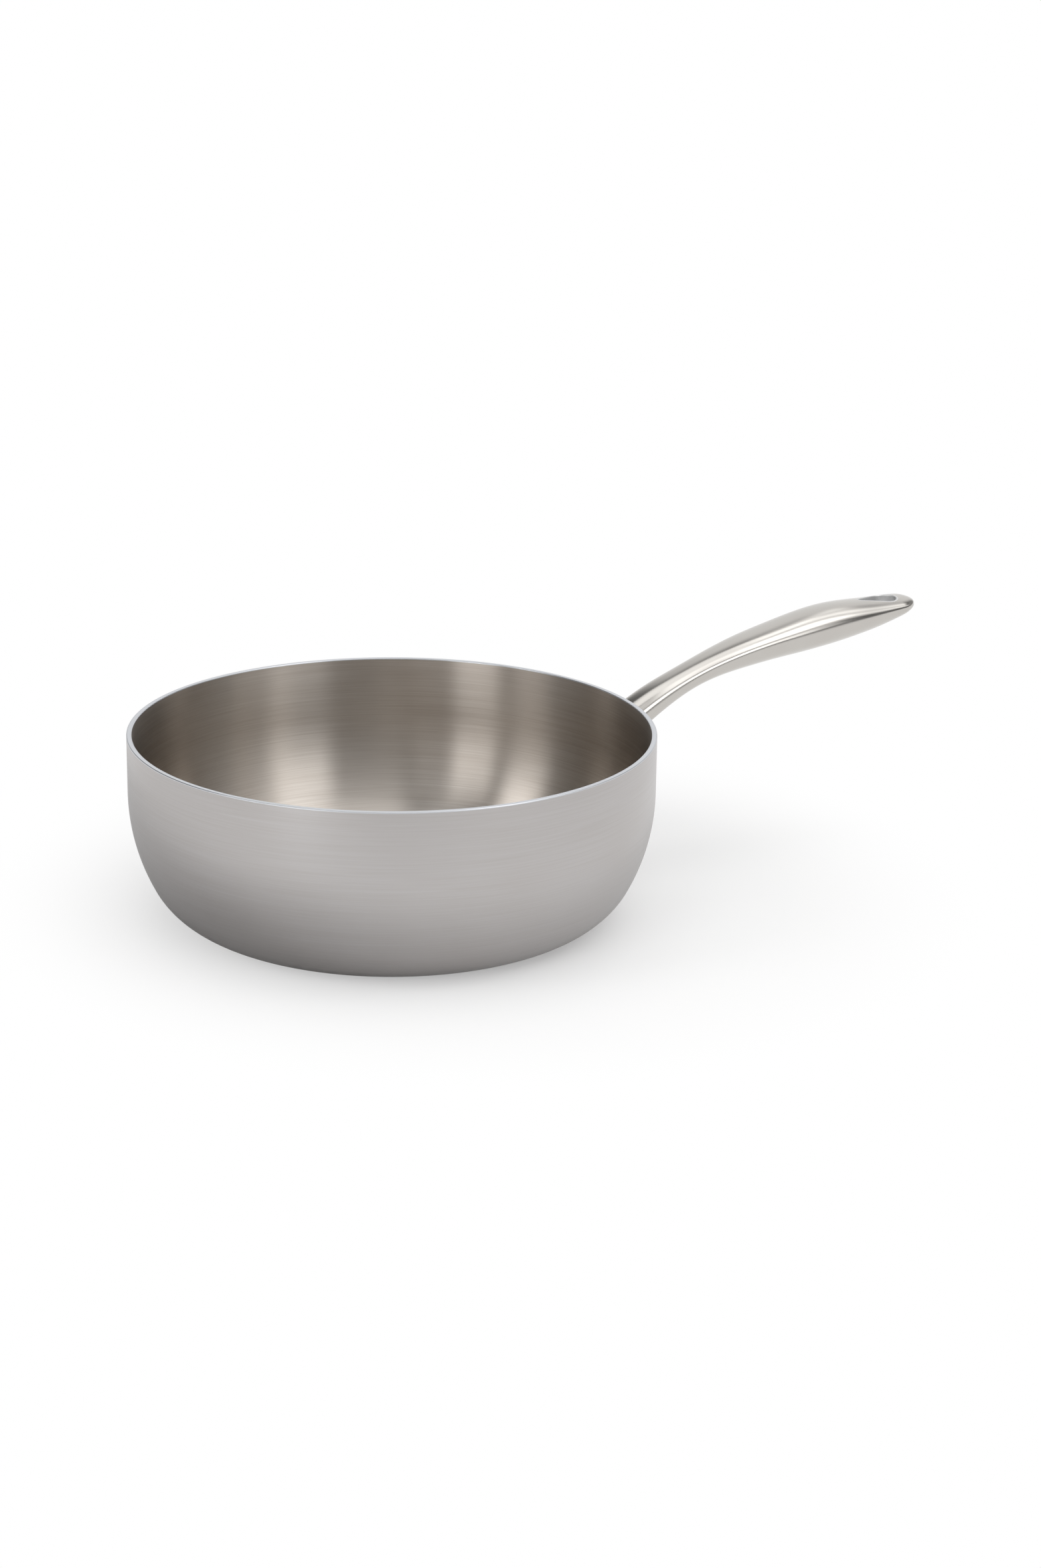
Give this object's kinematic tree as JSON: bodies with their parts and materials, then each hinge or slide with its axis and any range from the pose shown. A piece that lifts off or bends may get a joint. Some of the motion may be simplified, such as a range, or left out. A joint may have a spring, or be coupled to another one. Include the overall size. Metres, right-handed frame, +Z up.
{
  "type": "saucier pan",
  "caption": "Clad stainless saucier pan with a straight upper wall, deep curved heel and long hollow welded handle with a teardrop hanging hole.",
  "frame": {"origin": "centre of the underside of the flat base", "axes": "+Z up along the bowl's axis, +X along the handle away from the bowl"},
  "size_m": [0.4245, 0.24, 0.1115],
  "materials": {
    "cooking_steel": "brushed round the bowl",
    "bond_alloy": "roll bonded",
    "core_aluminium": "roll bonded",
    "shell_steel": "satin, fine lines round the bowl",
    "handle_steel": "mirror polished",
    "sleeve_steel": "dull, as drawn",
    "weld_metal": "as welded"
  },
  "bodies": {
    "root": {"cooking_surface": "cooking_steel", "inner_bond_layer": "bond_alloy", "aluminium_core": "core_aluminium", "outer_bond_layer": "bond_alloy", "outer_shell": "shell_steel", "foot_plate": "handle_steel", "weld_nuggets": "weld_metal", "handle_upper_half": "handle_steel", "handle_lower_half": "handle_steel", "hanging_hole_sleeve": "sleeve_steel"}
  },
  "joints": []
}
